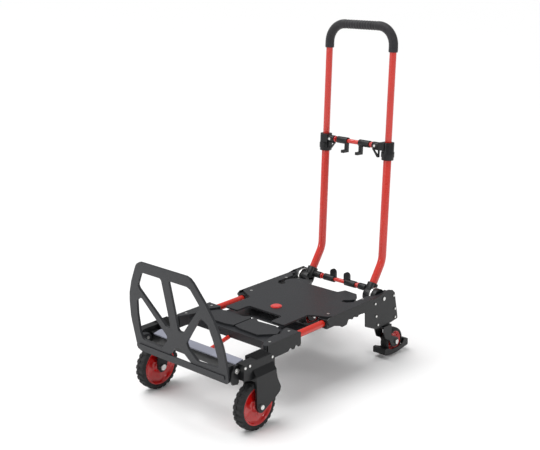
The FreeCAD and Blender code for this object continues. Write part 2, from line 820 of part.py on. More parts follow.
def toe_hinge_pins():
    """Two headed pins that the toe plate turns on."""
    depth, height = toe_pin_place()
    pins = []
    for side in SIDES.values():
        shank = rod("X", *span(side, 140.5, 171), cell("toe_pin_radius"), (depth, height))
        head = rod("X", *span(side, 168.3, 172), 6.5, (depth, height))
        dimple = rod("X", *span(side, 170, 173), 2.6, (depth, height))
        pins.append(cut(fuse(shank, head), dimple))
    place_on_toe(group("toe_hinge_pins", pins))


# ---------------------------------------------------------------- front wheels and casters

def wheel_profile(side, x, inner, outer, width, rounding):
    """A ring's section in the XZ plane, about an axis along X at the wheel's centre."""
    half = width * 0.5
    return [
        (side * x - half, inner), (side * x - half, outer - rounding), (side * x - half + rounding, outer),
        (side * x + half - rounding, outer), (side * x + half, outer - rounding), (side * x + half, inner),
    ]


def turned_about_x(body, profile):
    """Revolve an (X, radius) profile about the X axis of the body."""
    return turn(body, FROM_FRONT, profile, axis="H_Axis")


def front_tyre(name, side):
    """A block-tread rubber tyre."""
    body = new_body(f"front_tyre_{name}")
    radius = cell("front_wheel_radius")
    width = cell("front_wheel_width")
    x = cell("front_wheel_x")
    turned_about_x(body, wheel_profile(side, x, radius - 13.5, radius, width, 4))
    place(body, radius)


def front_hub(name, side):
    """A dished red wheel centre with a plain bore."""
    body = new_body(f"front_hub_{name}")
    x = side * cell("front_wheel_x")
    rim = cell("front_wheel_radius") - 13.5
    profile = [
        (x - 13, 14), (x - 13, 5.05), (x + 13, 5.05), (x + 13, 14), (x + 5, 20), (x + 5, rim - 8), (x + 13, rim - 2),
        (x + 13, rim), (x - 13, rim), (x - 13, rim - 2), (x - 5, rim - 8), (x - 5, 20),
    ]
    turned_about_x(body, profile)
    place(body, cell("front_wheel_radius"))


def caster_centre(side):
    return side * cell("caster_x"), cell("caster_swivel_y") + cell("caster_trail")


def caster_fork(name, side):
    """The swivelling fork: a king pin, a crown and two swept legs."""
    body = new_body(f"caster_fork_{name}")
    x = side * cell("caster_x")
    pivot = cell("caster_swivel_y")
    axle_y = pivot + cell("caster_trail")
    axle = cell("caster_wheel_radius")
    half = cell("caster_wheel_width") * 0.5
    front, rear = pivot - 18, pivot + 18
    leg = [(front, 96), (front, 82), (front + 9, 60), (axle_y - 30, 50), (axle_y - 20, 30), (axle_y - 8, 24),
           (axle_y + 6, 25), (axle_y + 13, 34), (axle_y + 8, 48), (rear, 62), (rear, 96)]
    for sign in SIDES.values():
        pad(body, FROM_SIDE, x + sign * (half + 1.5), x + sign * (half + 4.5), outlines=[leg], rounding=5)
    crown = [(front, 90), (rear, 90), (rear, 96), (front, 96)]
    pad(body, FROM_SIDE, x - half - 4.5, x + half + 4.5, outlines=[crown])
    pad(body, FROM_FLOOR, 96, 98.7, circles=[(x, pivot, 7.5)])
    pad(body, FROM_FLOOR, 98, 130, circles=[(x, pivot, 5)])
    pocket(body, FROM_SIDE, x - 30, x + 30, circles=[(axle_y, axle, 4.05)])
    place(body)


def caster_axle(name, side):
    """The caster's axle bolt and nut."""
    x, y = caster_centre(side)
    half = cell("caster_wheel_width") * 0.5
    centre = (y, cell("caster_wheel_radius"))
    shank = rod("X", x - half - 7, x + half + 7, 4, centre)
    head = rod("X", x + half + 4.5, x + half + 8.5, 6.5, centre)
    nut = rod("X", x - half - 8.5, x - half - 4.5, 6.5, centre)
    place(named(fuse(shank, head, nut), f"caster_axle_{name}"))


def caster_tyre(name, side):
    """The caster's rubber tyre."""
    body = new_body(f"caster_tyre_{name}")
    x, y = caster_centre(side)
    radius = cell("caster_wheel_radius")
    half = cell("caster_wheel_width") * 0.5
    profile = [(x - half, radius - 9), (x - half, radius - 3), (x - half + 3, radius), (x + half - 3, radius),
               (x + half, radius - 3), (x + half, radius - 9)]
    turned_about_x(body, profile)
    place(body, radius, y)


def caster_hub(name, side):
    """The caster's red wheel centre."""
    body = new_body(f"caster_hub_{name}")
    x, y = caster_centre(side)
    rim = cell("caster_wheel_radius") - 9
    profile = [(x - 9.5, 9), (x - 9.5, 4.05), (x + 9.5, 4.05), (x + 9.5, 9), (x + 5, 12), (x + 5, rim - 5), (x + 9.5, rim - 1.5),
               (x + 9.5, rim), (x - 9.5, rim), (x - 9.5, rim - 1.5), (x - 5, rim - 5), (x - 5, 12)]
    turned_about_x(body, profile)
    place(body, cell("caster_wheel_radius"), y)


def brake_pedal(name, side):
    """The rocker brake: side arms on the axle line and a tread plate at each end."""
    body = new_body(f"brake_pedal_{name}")
    x, y = caster_centre(side)
    half = cell("caster_wheel_width") * 0.5
    reach = half + 8.8
    arm = [(y - 56, 31), (y - 56, 14), (y - 30, 9), (y, 8), (y + 26, 11), (y + 51, 14), (y + 51, 33),
           (y + 40, 33), (y + 24, 24), (y, 21), (y - 24, 22), (y - 46, 31)]
    for sign in SIDES.values():
        pad(body, FROM_SIDE, x + sign * (half + 4.9), x + sign * reach, outlines=[arm], rounding=3)
    front_tread = [(y - 56, 31), (y - 56, 14), (y - 48, 12), (y - 42, 20), (y - 46, 31)]
    rear_tread = [(y + 40, 16), (y + 51, 14), (y + 51, 33), (y + 42, 33)]
    pad(body, FROM_SIDE, x - reach, x + reach, outlines=[front_tread], rounding=2)
    pad(body, FROM_SIDE, x - reach, x + reach, outlines=[rear_tread], rounding=2)
    place(body)


# ---------------------------------------------------------------- handle

def hinge_hubs():
    """Index discs between the fixed cheeks and the handle's boots."""
    hubs = []
    hinge = (cell("hinge_y"), cell("hinge_height"))
    for side in SIDES.values():
        disc = rod("X", *span(side, 125.5, 131.5), cell("hinge_disc_radius"), hinge)
        bore = rod("X", *span(side, 120, 145), cell("hinge_pin_radius"), hinge)
        hubs.append(cut(disc, bore))
    place(group("hinge_hubs", hubs))


def hinge_pins():
    """The pins that the hinge turns on, pressed into the hubs."""
    hinge = (cell("hinge_y"), cell("hinge_height"))
    pins = [rod("X", *span(side, 112, 144.5), cell("hinge_pin_radius"), hinge) for side in SIDES.values()]
    place(group("hinge_pins", pins))


def lower_tube_direction():
    """Unit vector up the slanted foot of the lower tube, as (Y, Z)."""
    rise = DIMENSIONS["handle_bend_height"] - 197.0
    back = DIMENSIONS["handle_bend_y"] - 543.0
    length = math.hypot(back, rise)
    return back / length, rise / length


FOOT_START = -9.0
BEND_RADIUS = 60.0


def bent_tube(radius, side, foot_start):
    """A round bar along the slanted foot, round the bend and up the straight handle."""
    tilt = math.radians(DIMENSIONS["handle_tilt"])
    up_y, up_z = math.sin(tilt), math.cos(tilt)
    foot_y, foot_z = lower_tube_direction()
    turn_angle = math.acos(up_y * foot_y + up_z * foot_z)
    tangent = BEND_RADIUS * math.tan(turn_angle / 2)
    bend_y, bend_z = DIMENSIONS["handle_bend_y"], DIMENSIONS["handle_bend_height"]
    x = side * DIMENSIONS["handle_x"]
    start = FreeCAD.Vector(x, 543 + foot_y * foot_start, 197 + foot_z * foot_start)
    before = FreeCAD.Vector(x, bend_y - foot_y * tangent, bend_z - foot_z * tangent)
    after = FreeCAD.Vector(x, bend_y + up_y * tangent, bend_z + up_z * tangent)
    end = FreeCAD.Vector(x, bend_y, bend_z) + FreeCAD.Vector(0, up_y, up_z) * DIMENSIONS["lower_tube_top"]
    corner = FreeCAD.Vector(x, bend_y, bend_z)
    to_centre = ((before - corner) + (after - corner)).normalize()
    centre = corner + to_centre * math.hypot(BEND_RADIUS, tangent)
    middle = centre - to_centre * BEND_RADIUS
    path = Part.Wire([Part.makeLine(start, before), Part.Arc(before, middle, after).toShape(), Part.makeLine(after, end)])
    ring = Part.Wire([Part.makeCircle(radius, start, FreeCAD.Vector(0, foot_y, foot_z))])
    return path.makePipeShell([ring], True, True)


def handle_tube(name, side):
    """One lower handle tube, bent near its foot and open at the top."""
    radius = DIMENSIONS["lower_tube_radius"]
    bore = DIMENSIONS["upper_tube_radius"] + DIMENSIONS["tube_clearance"]
    shape = bent_tube(radius, side, FOOT_START).cut(bent_tube(bore, side, FOOT_START))
    tube = document.addObject("Part::Feature", f"handle_tube_{name}")
    tube.Label = f"handle_tube_{name}"
    tube.Shape = shape
    place(tube)


def handle_boot(name, side):
    """The moulded boot that joins a tube's foot to the hinge."""
    foot_y, foot_z = lower_tube_direction()
    x = side * DIMENSIONS["handle_x"]
    lean = FreeCAD.Rotation(FreeCAD.Vector(1, 0, 0), -math.degrees(math.atan2(foot_y, foot_z)))

    def along_foot(start, end, radius):
        cylinder = document.addObject("Part::Cylinder", "foot")
        bind(cylinder, "Radius", radius)
        bind(cylinder, "Height", end - start)
        base = FreeCAD.Vector(x, 543 + foot_y * start, 197 + foot_z * start)
        cylinder.Placement = FreeCAD.Placement(base, lean)
        return cylinder

    hinge = (cell("hinge_y"), cell("hinge_height"))
    sleeve = along_foot(-26.0, 8.0, cell("lower_tube_radius") + 4)
    disc = rod("X", *span(side, 102, 125), 19, hinge)
    bore = rod("X", *span(side, 90, 130), cell("hinge_pin_radius") + cell("running_fit"), hinge)
    socket = along_foot(FOOT_START, 12.0, cell("lower_tube_radius"))
    place(named(cut(fuse(sleeve, disc), bore, socket), f"handle_boot_{name}"))


def handle_collar(name, side):
    """The clamp collar at the top of a lower tube, in the handle's own frame."""
    x = side * cell("handle_x")
    top = cell("lower_tube_top")
    shell = rod("Z", top - 18, top + 30, 16.5, (x, 0))
    band = rod("Z", top - 10, top + 4, 18, (x, 0))
    arm_x = span(side, 88, cell("handle_x"))
    arm = block((arm_x[0], -20, top + 8), (arm_x[1], 0, top + 29))
    tube_seat = rod("Z", top - 30, top, cell("lower_tube_radius"), (x, 0))
    slide = rod("Z", top - 1, top + 40, cell("upper_tube_radius") + cell("tube_clearance"), (x, 0))
    place_on_handle(named(cut(fuse(shell, band, arm), tube_seat, slide), f"handle_collar_{name}"))


def u_path(x, foot, top, corner):
    """An upside-down U in the handle's plane."""
    bend = corner * (1 - math.sqrt(0.5))
    left_foot = FreeCAD.Vector(-x, 0, foot)
    left_top = FreeCAD.Vector(-x, 0, top - corner)
    left_mid = FreeCAD.Vector(-x + bend, 0, top - bend)
    bar_left = FreeCAD.Vector(-x + corner, 0, top)
    bar_right = FreeCAD.Vector(x - corner, 0, top)
    right_mid = FreeCAD.Vector(x - bend, 0, top - bend)
    right_top = FreeCAD.Vector(x, 0, top - corner)
    right_foot = FreeCAD.Vector(x, 0, foot)
    return Part.Wire([
        Part.makeLine(left_foot, left_top), Part.Arc(left_top, left_mid, bar_left).toShape(),
        Part.makeLine(bar_left, bar_right), Part.Arc(bar_right, right_mid, right_top).toShape(),
        Part.makeLine(right_top, right_foot),
    ])


def u_bar(foot, radius):
    """A round bar along the U from a foot height."""
    x = DIMENSIONS["handle_x"]
    path = u_path(x, foot, DIMENSIONS["handle_top"], DIMENSIONS["handle_corner"])
    start = FreeCAD.Vector(-x, 0, foot)
    ring = Part.Wire([Part.makeCircle(radius, start, FreeCAD.Vector(0, 0, 1))])
    return path.makePipeShell([ring], True, True)


def handle_u_tube():
    """The telescoping upper handle, one tube bent into a U."""
    foot = DIMENSIONS["upper_tube_foot"]
    radius = DIMENSIONS["upper_tube_radius"]
    tube = document.addObject("Part::Feature", "handle_u_tube")
    tube.Label = "handle_u_tube"
    tube.Shape = u_bar(foot, radius).cut(u_bar(foot, radius - 1.5))
    place_on_handle(tube)


def handle_grip():
    """The foam grip over the top of the U."""
    foot = DIMENSIONS["grip_foot"]
    grip = document.addObject("Part::Feature", "handle_grip")
    grip.Label = "handle_grip"
    grip.Shape = u_bar(foot, DIMENSIONS["grip_radius"]).cut(u_bar(foot, DIMENSIONS["upper_tube_radius"]))
    place_on_handle(grip)


def mid_line():
    """Where the middle crossbar runs, in the handle's frame: (Y, Z)."""
    return -cell("mid_crossbar_forward"), cell("mid_crossbar_height")


def low_line():
    """Where the lower crossbar runs, in the truck's frame: (Y, Z)."""
    return cell("lower_crossbar_y"), cell("lower_crossbar_height")


def crossbars():
    """The two red rods that carry the release sleeves."""
    reach = 88
    mid = rod("X", -reach, reach, cell("crossbar_radius"), mid_line())
    place_on_handle(group("mid_crossbar", [mid]))
    low = rod("X", -reach, reach, cell("crossbar_radius"), low_line())
    place(group("lower_crossbar", [low]))


def stub_set(line, inner, outer):
    """Black end sleeves of a crossbar, one each side."""
    stubs = []
    for side in SIDES.values():
        shell = rod("X", *span(side, inner, outer), 9.5, line)
        bore = rod("X", *span(side, inner - 2, outer + 2), cell("crossbar_radius"), line)
        stubs.append(cut(shell, bore))
    return stubs


def crossbar_ends():
    """The four black end sleeves."""
    middle = seat_on_handle(group("mid_ends", stub_set(mid_line(), 67, 88)))
    lower = seat(group("lower_ends", stub_set(low_line(), 69, 93)))
    pieces.append(group("crossbar_ends", [middle, lower]))


def ring_set(line, position):
    """Red stop rings on a crossbar."""
    rings = []
    for side in SIDES.values():
        ring = rod("X", *span(side, position, position + 5), 8.5, line)
        bore = rod("X", *span(side, position - 2, position + 8), cell("crossbar_radius"), line)
        rings.append(cut(ring, bore))
    return rings


def crossbar_rings():
    """The four red stop rings."""
    middle = seat_on_handle(group("mid_rings", ring_set(mid_line(), 61)))
    lower = seat(group("lower_rings", ring_set(low_line(), 63)))
    pieces.append(group("crossbar_rings", [middle, lower]))


def release_sleeve(name, side, line, finger, on_handle):
    """A sliding release sleeve with a finger for pulling it inwards."""
    bore_radius = cell("crossbar_radius") + 0.3
    shell = rod("X", *span(side, 20, 56), 9.5, line)
    bore = rod("X", *span(side, 15, 60), bore_radius, line)
    piece = named(cut(fuse(shell, *finger(side, line)), bore), name)
    if on_handle:
        place_on_handle(piece)
    else:
        place(piece)


def hook_finger(side, line):
    """A hook that hangs below the sleeve and points forward."""
    low, high = span(side, 20, 29)
    y, z = line
    return [block((low, y - 5, z - 30), (high, y + 5, z)), block((low, y - 20, z - 32), (high, y + 5, z - 24))]


def tab_finger(side, line):
    """An upright rounded paddle."""
    low, high = span(side, 15, 34)
    y, z = line
    paddle = block((low, y - 4, z), (high, y + 4, z + 20))
    return [paddle, rod("Y", y - 4, y + 4, 9.5, ((low + high) * 0.5, z + 20))]


def release_sleeves():
    for name, side in SIDES.items():
        release_sleeve(f"slide_release_{name}", side, mid_line(), hook_finger, True)
        release_sleeve(f"fold_release_{name}", side, low_line(), tab_finger, False)


def cord_loops():
    """Small D-shaped cord loops below the middle crossbar."""
    loops = []
    y, z = mid_line()
    for side in SIDES.values():
        body = new_body("cord_loop")
        outer = mirrored([(64, z - 9.5), (87.5, z - 9.5), (87.5, z - 32), (82, z - 32)], side)
        inner = mirrored([(70, z - 12.5), (84.5, z - 12.5), (84.5, z - 27)], side)
        pad(body, FROM_FRONT, y - 3, y + 3, outlines=[outer])
        pocket(body, FROM_FRONT, y - 4, y + 4, outlines=[inner])
        loops.append(body)
    place_on_handle(group("cord_loops", loops))


def crossbar_screws():
    """Plated screw heads on the middle crossbar's ends."""
    screws = []
    y, z = mid_line()
    for side in SIDES.values():
        screws.append(rod("Y", y - 12, y - 9.5, 3.5, (side * 78, z)))
    place_on_handle(group("crossbar_screws", screws))


# ---------------------------------------------------------------- build

def build():
    fill_spreadsheet()
    rear_deck_panel()
    rail_guides()
    rear_cross_member()
    hinge_cheeks()
    caster_brackets()
    rear_rivets()
    deck_button()
    button_spring()
    front_deck_panel()
    front_cross_panel()
    front_cross_beam()
    centre_rod()
    front_axle_bolts()
    front_rivets()
    toe_plate()
    toe_hinge_pins()
    hinge_hubs()
    hinge_pins()
    handle_u_tube()
    handle_grip()
    crossbars()
    crossbar_ends()
    crossbar_rings()
    release_sleeves()
    cord_loops()
    crossbar_screws()
    for name, side in SIDES.items():
        rear_side_plate(name, side)
        front_side_wall(name, side)
        front_bracket(name, side)
        slide_rail(name, side)
        wheel_fork(name, side)
        front_tyre(name, side)
        front_hub(name, side)
        caster_fork(name, side)
        caster_axle(name, side)
        caster_tyre(name, side)
        caster_hub(name, side)
        brake_pedal(name, side)
        handle_tube(name, side)
        handle_boot(name, side)
        handle_collar(name, side)


def check_and_export():
    document.recompute()
    for item in document.Objects:
        if any(state in ("Invalid", "Error") for state in item.State):
            raise RuntimeError(f"{item.Name} ({item.Label}) did not recompute: {item.State}")
    os.makedirs("parts", exist_ok=True)
    for piece in pieces:
        if piece.Shape.isNull() or not piece.Shape.isValid() or not piece.Shape.Solids:
            raise RuntimeError(f"{piece.Label} has no valid solid")
        piece.Shape.exportStep(os.path.join("parts", f"{piece.Label}.step"))


build()
check_and_export()
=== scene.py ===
"""Looks of the convertible hand truck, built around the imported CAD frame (metres)."""
import json
import math

import bmesh
import bpy
from mathutils import Matrix, Vector


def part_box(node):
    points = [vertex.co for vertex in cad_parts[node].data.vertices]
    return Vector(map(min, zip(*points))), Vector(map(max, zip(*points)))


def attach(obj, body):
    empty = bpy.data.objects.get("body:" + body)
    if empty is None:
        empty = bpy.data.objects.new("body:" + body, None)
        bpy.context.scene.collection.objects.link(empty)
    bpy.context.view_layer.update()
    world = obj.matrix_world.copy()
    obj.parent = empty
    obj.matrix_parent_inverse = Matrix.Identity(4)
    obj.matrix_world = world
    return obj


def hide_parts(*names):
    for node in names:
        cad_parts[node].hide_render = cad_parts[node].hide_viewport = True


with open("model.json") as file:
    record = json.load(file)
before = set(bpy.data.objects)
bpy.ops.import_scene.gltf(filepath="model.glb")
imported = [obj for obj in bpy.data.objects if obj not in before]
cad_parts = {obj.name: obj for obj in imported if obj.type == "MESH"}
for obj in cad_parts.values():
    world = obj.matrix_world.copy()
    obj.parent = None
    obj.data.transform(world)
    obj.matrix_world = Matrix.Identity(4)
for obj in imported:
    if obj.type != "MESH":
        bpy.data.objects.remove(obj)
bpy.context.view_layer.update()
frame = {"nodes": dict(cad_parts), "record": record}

NODES = frame["nodes"]
SIDES = ("left", "right")
MM = 0.001


# ---------------------------------------------------------------- camera, light and floor

CAMERA_AZIMUTH = math.radians(42.9)
CAMERA_ELEVATION = math.radians(16.02)
CAMERA_ROLL = math.radians(-0.82)
CAMERA_DISTANCE = 2.614
CAMERA_TARGET = Vector((-0.0287, 0.0216, 0.4044))
CAMERA_LENS = 66.95


def add_camera():
    """The camera stands to the front right and looks slightly down."""
    flat = math.cos(CAMERA_ELEVATION)
    back = Vector((math.sin(CAMERA_AZIMUTH) * flat, -math.cos(CAMERA_AZIMUTH) * flat, math.sin(CAMERA_ELEVATION)))
    right = Vector((math.cos(CAMERA_AZIMUTH), math.sin(CAMERA_AZIMUTH), 0))
    up = back.cross(right)
    rolled_right = right * math.cos(CAMERA_ROLL) + up * math.sin(CAMERA_ROLL)
    rolled_up = up * math.cos(CAMERA_ROLL) - right * math.sin(CAMERA_ROLL)
    turned = Matrix((rolled_right, rolled_up, back)).transposed().to_4x4()
    data = bpy.data.cameras.new("camera")
    data.lens = CAMERA_LENS
    data.sensor_width = 36
    camera = bpy.data.objects.new("camera", data)
    camera.matrix_world = Matrix.Translation(CAMERA_TARGET + back * CAMERA_DISTANCE) @ turned
    bpy.context.scene.collection.objects.link(camera)
    bpy.context.scene.camera = camera


def add_light(name, kind, place, power, spread):
    """A light aimed at the truck's middle; spread is a sun's angle or an area's width."""
    data = bpy.data.lights.new(name, kind)
    data.energy = power
    if kind == "SUN":
        data.angle = spread
    else:
        data.shape = "DISK"
        data.size = spread
    light = bpy.data.objects.new(name, data)
    light.location = place
    light.rotation_euler = (Vector((0, 0, 0.35)) - Vector(place)).to_track_quat("-Z", "Y").to_euler()
    bpy.context.scene.collection.objects.link(light)


def add_lights():
    """Soft studio light: a pale surround, a big key overhead and a fill at the front."""
    world = bpy.data.worlds.new("studio")
    world.use_nodes = True
    background = world.node_tree.nodes["Background"]
    background.inputs["Color"].default_value = (1, 1, 1, 1)
    background.inputs["Strength"].default_value = 0.42
    scene = bpy.context.scene
    scene.world = world
    scene.view_settings.view_transform = "Standard"
    add_light("key", "SUN", (-0.9, -0.5, 3.0), 2.3, math.radians(50))
    add_light("side", "AREA", (2.4, -0.4, 1.9), 14, 0.6)
    add_light("front", "AREA", (-1.0, -2.6, 1.3), 12, 0.6)


def add_floor():
    mesh = bpy.data.meshes.new("floor")
    reach = 60
    corners = [(-reach, -reach, 0), (reach, -reach, 0), (reach, reach, 0), (-reach, reach, 0)]
    mesh.from_pydata(corners, [], [(0, 1, 2, 3)])
    floor = bpy.data.objects.new("floor", mesh)
    bpy.context.scene.collection.objects.link(floor)
    material = bpy.data.materials.new("floor")
    material.use_nodes = True
    shader = material.node_tree.nodes["Principled BSDF"]
    shader.inputs["Base Color"].default_value = (0.93, 0.93, 0.93, 1)
    shader.inputs["Roughness"].default_value = 0.9
    floor.data.materials.append(material)


# ---------------------------------------------------------------- materials

class Graph:
    """Short-hand for building a material's nodes."""

    def __init__(self, name):
        self.material = bpy.data.materials.new(name)
        self.material.use_nodes = True
        self.tree = self.material.node_tree
        self.shader = self.tree.nodes["Principled BSDF"]
        self.coords = self.add("ShaderNodeTexCoord").outputs["Object"]

    def add(self, kind, **settings):
        node = self.tree.nodes.new(kind)
        for key, value in settings.items():
            if key in node.inputs:
                node.inputs[key].default_value = value
            else:
                setattr(node, key, value)
        return node

    def link(self, source, target):
        self.tree.links.new(source, target)

    def noise(self, scale, detail=4.0, roughness=0.55):
        node = self.add("ShaderNodeTexNoise")
        node.inputs["Scale"].default_value = scale
        node.inputs["Detail"].default_value = detail
        node.inputs["Roughness"].default_value = roughness
        self.link(self.coords, node.inputs["Vector"])
        return node.outputs["Fac"]

    def cells(self, scale, feature="F1"):
        node = self.add("ShaderNodeTexVoronoi")
        node.feature = feature
        node.inputs["Scale"].default_value = scale
        self.link(self.coords, node.inputs["Vector"])
        return node.outputs["Distance"]

    def spread(self, source, low, high, start=0.3, end=0.7):
        """Map a 0-1 pattern onto a range of values."""
        node = self.add("ShaderNodeMapRange")
        node.inputs["From Min"].default_value = start
        node.inputs["From Max"].default_value = end
        node.inputs["To Min"].default_value = low
        node.inputs["To Max"].default_value = high
        self.link(source, node.inputs["Value"])
        return node.outputs["Result"]

    def mix(self, factor, first, second):
        """Mix two colours, each a tuple or a socket."""
        node = self.add("ShaderNodeMix", data_type="RGBA")
        for value, socket in ((factor, node.inputs[0]), (first, node.inputs[6]), (second, node.inputs[7])):
            if isinstance(value, (int, float)):
                socket.default_value = value
            elif isinstance(value, tuple):
                socket.default_value = (*value, 1)
            else:
                self.link(value, socket)
        return node.outputs[2]

    def bump(self, height, strength, distance, normal=None):
        node = self.add("ShaderNodeBump")
        node.inputs["Strength"].default_value = strength
        node.inputs["Distance"].default_value = distance
        self.link(height, node.inputs["Height"])
        if normal is not None:
            self.link(normal, node.inputs["Normal"])
        return node.outputs["Normal"]

    def wire(self, colour=None, roughness=None, normal=None):
        for source, socket in ((colour, "Base Color"), (roughness, "Roughness"), (normal, "Normal")):
            if source is not None:
                self.link(source, self.shader.inputs[socket])
        return self.material

    def constants(self, **values):
        for key, value in values.items():
            self.shader.inputs[key.replace("_", " ").title()].default_value = value


def scaled(colour, factor):
    return tuple(min(1.0, channel * factor) for channel in colour)


def powder_coat(name, colour, gloss=0.28):
    """Sprayed paint: faint orange peel, slight shade changes and fine scuffs."""
    g = Graph(name)
    shade = g.mix(g.spread(g.noise(9, 3), 0, 1), scaled(colour, 0.93), scaled(colour, 1.06))
    scuffs = g.spread(g.noise(160, 6, 0.7), 0, 1, 0.68, 0.8)
    colour_out = g.mix(scuffs, shade, scaled(colour, 0.72))
    rough = g.spread(g.noise(45, 5), gloss - 0.05, gloss + 0.1)
    peel = g.bump(g.noise(700, 2), 0.12, 0.0004)
    g.shader.inputs["Coat Weight"].default_value = 0.35
    g.shader.inputs["Coat Roughness"].default_value = 0.12
    return g.wire(colour_out, rough, peel)


def moulded_plastic(name, colour, rough=0.5, grain=1.0, dust=0.25):
    """Textured moulding: fine spark grain, cloudy sheen and a little dust."""
    g = Graph(name)
    cloud = g.spread(g.noise(5, 3), 0, 1)
    base = g.mix(cloud, scaled(colour, 0.94), scaled(colour, 1.06))
    specks = g.spread(g.noise(420, 3, 0.7), 0, dust, 0.6, 0.78)
    pale = tuple(channel * 0.8 + 0.03 for channel in colour)
    colour_out = g.mix(specks, base, pale)
    roughness = g.spread(g.noise(260, 4), rough - 0.05, rough + 0.06)
    g.shader.inputs["Specular IOR Level"].default_value = 0.35
    coarse = g.bump(g.cells(900), 0.25 * grain, 0.0003)
    fine = g.bump(g.noise(1800, 2), 0.2 * grain, 0.0002, coarse)
    return g.wire(colour_out, roughness, fine)


def rubber(name, colour):
    """Tyre rubber with dry dust."""
    g = Graph(name)
    base = g.mix(g.spread(g.noise(30, 4), 0, 1), scaled(colour, 0.8), scaled(colour, 1.3))
    dusty = g.mix(g.spread(g.noise(240, 5, 0.7), 0, 0.35, 0.55, 0.75), base, (0.035, 0.034, 0.033))
    roughness = g.spread(g.noise(90, 4), 0.6, 0.85)
    return g.wire(dusty, roughness, g.bump(g.noise(1100, 3), 0.3, 0.0004))


def foam(name, colour):
    """Closed-cell foam: tiny pits and a soft sheen."""
    g = Graph(name)
    base = g.mix(g.spread(g.noise(40, 3), 0, 1), scaled(colour, 0.85), scaled(colour, 1.25))
    roughness = g.spread(g.noise(120, 3), 0.55, 0.75)
    g.shader.inputs["Sheen Weight"].default_value = 0.25
    g.shader.inputs["Sheen Roughness"].default_value = 0.4
    return g.wire(base, roughness, g.bump(g.cells(1300), 0.35, 0.0004))


def gloss_plastic(name, colour, rough=0.12):
    """Glossy moulding with faint flow marks."""
    g = Graph(name)
    base = g.mix(g.spread(g.noise(14, 3), 0, 1), scaled(colour, 0.9), scaled(colour, 1.08))
    roughness = g.spread(g.noise(70, 4), rough, rough + 0.12)
    g.shader.inputs["Coat Weight"].default_value = 0.6
    g.shader.inputs["Coat Roughness"].default_value = 0.06
    return g.wire(base, roughness, g.bump(g.noise(35, 2), 0.05, 0.0006))


def plated_steel(name, colour):
    """Zinc plate: bright metal with a dull cloudy film."""
    g = Graph(name)
    base = g.mix(g.spread(g.noise(180, 4), 0, 1), scaled(colour, 0.75), colour)
    g.shader.inputs["Metallic"].default_value = 1.0
    roughness = g.spread(g.noise(300, 4), 0.22, 0.42)
    return g.wire(base, roughness, g.bump(g.noise(500, 3), 0.1, 0.0002))


RED = (0.62, 0.028, 0.016)
CHARCOAL = (0.022, 0.023, 0.026)
BLACK = (0.0055, 0.006, 0.0068)


def make_materials():
    return {
        "red_paint": powder_coat("red_paint", RED),
        "charcoal_plastic": moulded_plastic("charcoal_plastic", CHARCOAL, 0.42),
        "black_plastic": moulded_plastic("black_plastic", BLACK, 0.38, 0.7, 0.08),
        "black_metal": powder_coat("black_metal", BLACK, 0.4),
        # cover_grey: the cross panel under the front deck is dark plastic; its pale lavender-grey colour is painted
        # reflection, the light its top surface catches, not the panel's own colour
        "cover_grey": moulded_plastic("cover_grey", (0.27, 0.28, 0.34), 0.35, 0.6, 0.1),
        "tyre_rubber": rubber("tyre_rubber", (0.009, 0.009, 0.0095)),
        "hub_red": gloss_plastic("hub_red", (0.5, 0.006, 0.006)),
        "grip_foam": foam("grip_foam", (0.012, 0.011, 0.014)),
        "zinc": plated_steel("zinc", (0.82, 0.82, 0.8)),
        "button_red": gloss_plastic("button_red", (0.7, 0.035, 0.03), 0.3),
    }


# Edge rounding in millimetres, by material slot.
EDGE_WIDTHS = {"zinc": 1.3, "charcoal_plastic": 1.4, "black_plastic": 1.0, "black_metal": 0.8}


def dress_frame(materials):
    """Give every CAD node its slot's material and softly rounded edges."""
    slots = {row["node"]: row["material_slot"] for row in frame["record"]["subparts"]}
    for node, piece in NODES.items():
        piece.data.materials.clear()
        piece.data.materials.append(materials[slots[node]])
        weld = piece.modifiers.new("weld", "WELD")
        weld.merge_threshold = 0.00001
        bevel = piece.modifiers.new("edges", "BEVEL")
        bevel.width = EDGE_WIDTHS.get(slots[node], 0.9) * MM
        bevel.segments = 3
        bevel.limit_method = "ANGLE"
        bevel.angle_limit = math.radians(35)
        bevel.harden_normals = True


# ---------------------------------------------------------------- wheels

def new_piece(name, mesh_data, material, body, replaced):
    """Wrap a finished bmesh as a piece that stands for CAD nodes and rides on their body."""
    mesh = bpy.data.meshes.new(name)
    bmesh.ops.recalc_face_normals(mesh_data, faces=mesh_data.faces)
    mesh_data.to_mesh(mesh)
    mesh_data.free()
    mesh.shade_smooth()
    mesh.set_sharp_from_angle(angle=math.radians(38))
    piece = bpy.data.objects.new(name, mesh)
    bpy.context.scene.collection.objects.link(piece)
    piece.data.materials.append(material)
    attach(piece, body)
    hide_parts(*replaced)
    return piece


def grid_faces(mesh_data, rings, closed_rings=True):
    """Join rings of vertices into quads; each ring is itself closed."""
    count = len(rings)
    for index in range(count if closed_rings else count - 1):
        ring, following = rings[index], rings[(index + 1) % count]
        for step in range(len(ring)):
            after = (step + 1) % len(ring)
            mesh_data.faces.new((ring[step], ring[after], following[after], following[step]))


def lathe(centre, section, steps):
    """Spin a closed section about the X axis; section(angle) gives (x, radius) points."""
    mesh_data = bmesh.new()
    rings = []
    for step in range(steps):
        angle = 2 * math.pi * step / steps
        ring = [mesh_data.verts.new(centre + Vector((x, r * math.sin(angle), -r * math.cos(angle))))
                for x, r in section(angle)]
        rings.append(ring)
    grid_faces(mesh_data, rings)
    return mesh_data


def smooth_line(points, steps=5):
    """A Catmull-Rom line through (x, radius) points, ends included."""
    padded = [points[0], *points, points[-1]]
    line = []
    for index in range(1, len(padded) - 2):
        p0, p1, p2, p3 = (Vector(padded[index + offset]) for offset in (-1, 0, 1, 2))
        for step in range(steps):
            t = step / steps
            point = 0.5 * (2 * p1 + (p2 - p0) * t + (2 * p0 - 5 * p1 + 4 * p2 - p3) * t * t
                           + (3 * p1 - p0 - 3 * p2 + p3) * t * t * t)
            line.append((point.x, point.y))
    line.append(tuple(points[-1]))
    return line


